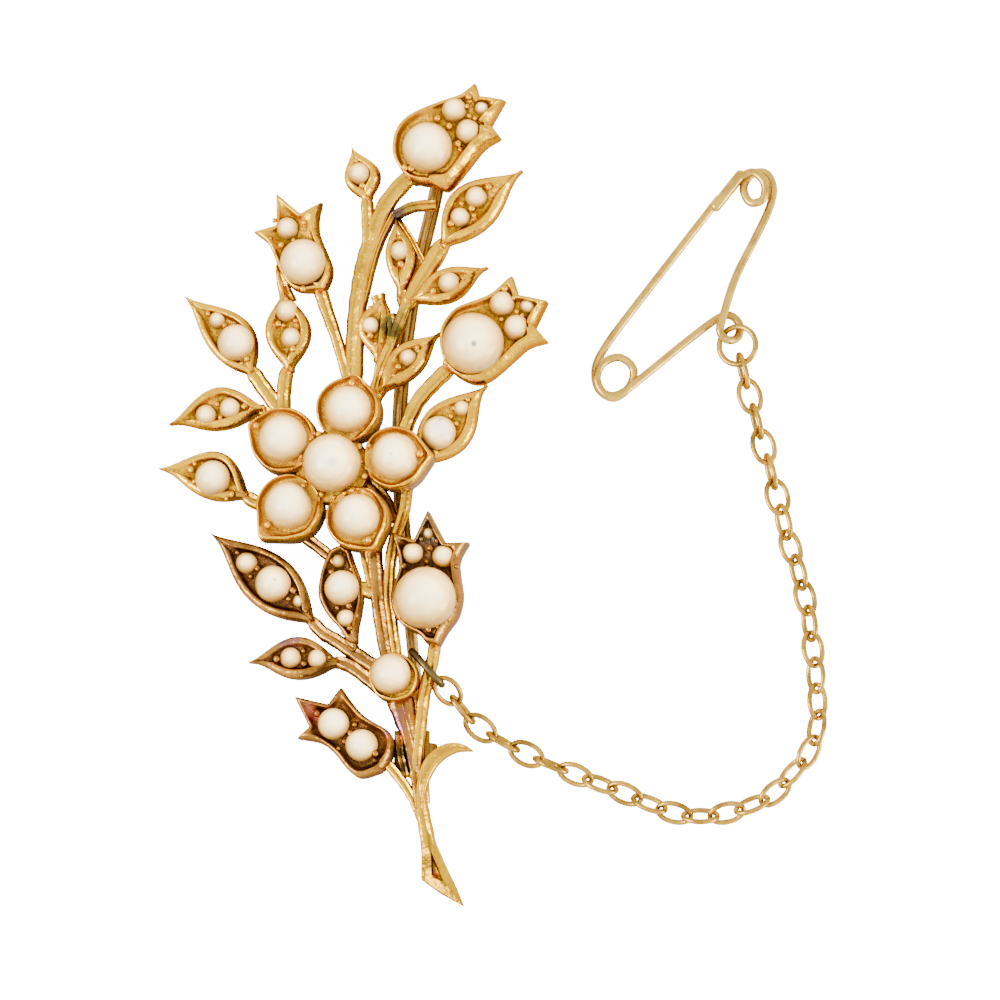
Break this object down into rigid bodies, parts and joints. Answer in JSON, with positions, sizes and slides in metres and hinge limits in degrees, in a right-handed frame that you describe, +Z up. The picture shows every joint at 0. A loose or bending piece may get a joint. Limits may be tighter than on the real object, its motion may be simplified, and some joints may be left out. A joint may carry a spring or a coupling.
{
  "type": "spray brooch with safety chain",
  "caption": "Gold sprig brooch of open leaves, tulips and a flower set with half pearls, with a hinged back pin, and a fine link chain to a small wire safety pin.",
  "frame": {"origin": "on the surface the brooch lies on, under the middle of the whole", "axes": "+Z up from the surface, +Y towards the top tulip, +X towards the safety chain"},
  "size_m": [0.0413, 0.051, 0.0064],
  "materials": {
    "gold": "worn yellow gold, polished rims and granular floors, tarnished darker in the lower half",
    "pin_gold": "worn pale gold",
    "chain_gold": "polished brassy gold, darker in the joints",
    "pale_gold": "pale satin gold wire",
    "grey_metal": "tarnished grey wire",
    "pearl": "cream pearl with a soft lustre"
  },
  "bodies": {
    "sprig": {"spray": "gold", "seed_pearls": "pearl", "stem_link": "grey_metal", "chain": "chain_gold", "jump_ring": "chain_gold", "safety_pin": "pale_gold", "pearl_tulip_top_large": "pearl", "pearl_tulip_top_upper": "pearl", "pearl_tulip_top_lower": "pearl", "pearl_leaf_top_outer": "pearl", "pearl_leaf_top_inner": "pearl", "pearl_leaf_fold": "pearl", "pearl_leaf_wing": "pearl", "pearl_leaf_inner": "pearl", "pearl_leaf_cross": "pearl", "pearl_tulip_right_large": "pearl", "pearl_tulip_right_upper": "pearl", "pearl_tulip_right_lower": "pearl", "pearl_leaf_right": "pearl", "pearl_bud": "pearl", "pearl_tulip_left_large": "pearl", "pearl_tulip_left_small": "pearl", "pearl_leaf_twin_upper": "pearl", "pearl_leaf_twin_lower": "pearl", "pearl_leaf_curl": "pearl", "pearl_leaf_west_outer": "pearl", "pearl_leaf_west_inner": "pearl", "pearl_leaf_low_west": "pearl", "pearl_flower_middle": "pearl", "pearl_petal_top": "pearl", "pearl_petal_right": "pearl", "pearl_petal_low_right": "pearl", "pearl_petal_low_left": "pearl", "pearl_petal_left": "pearl", "pearl_leaf_long_outer": "pearl", "pearl_leaf_long_middle": "pearl", "pearl_leaf_low_outer": "pearl", "pearl_leaf_low_inner": "pearl", "pearl_leaf_upright_large": "pearl", "pearl_leaf_upright_low": "pearl", "pearl_tulip_low_large": "pearl", "pearl_tulip_low_left": "pearl", "pearl_tulip_low_right": "pearl", "pearl_collet": "pearl", "pearl_tulip_foot_outer": "pearl", "pearl_tulip_foot_inner": "pearl"},
    "pin": {"brooch_pin": "pin_gold"}
  },
  "joints": [
    {"name": "pin_hinge", "type": "hinge", "parent": "sprig", "child": "pin", "pos_m": [-0.00334, 0.02074, 0.00074], "axis": [0.9887, -0.0139, 0.1495], "range_deg": [0, 100]}
  ]
}
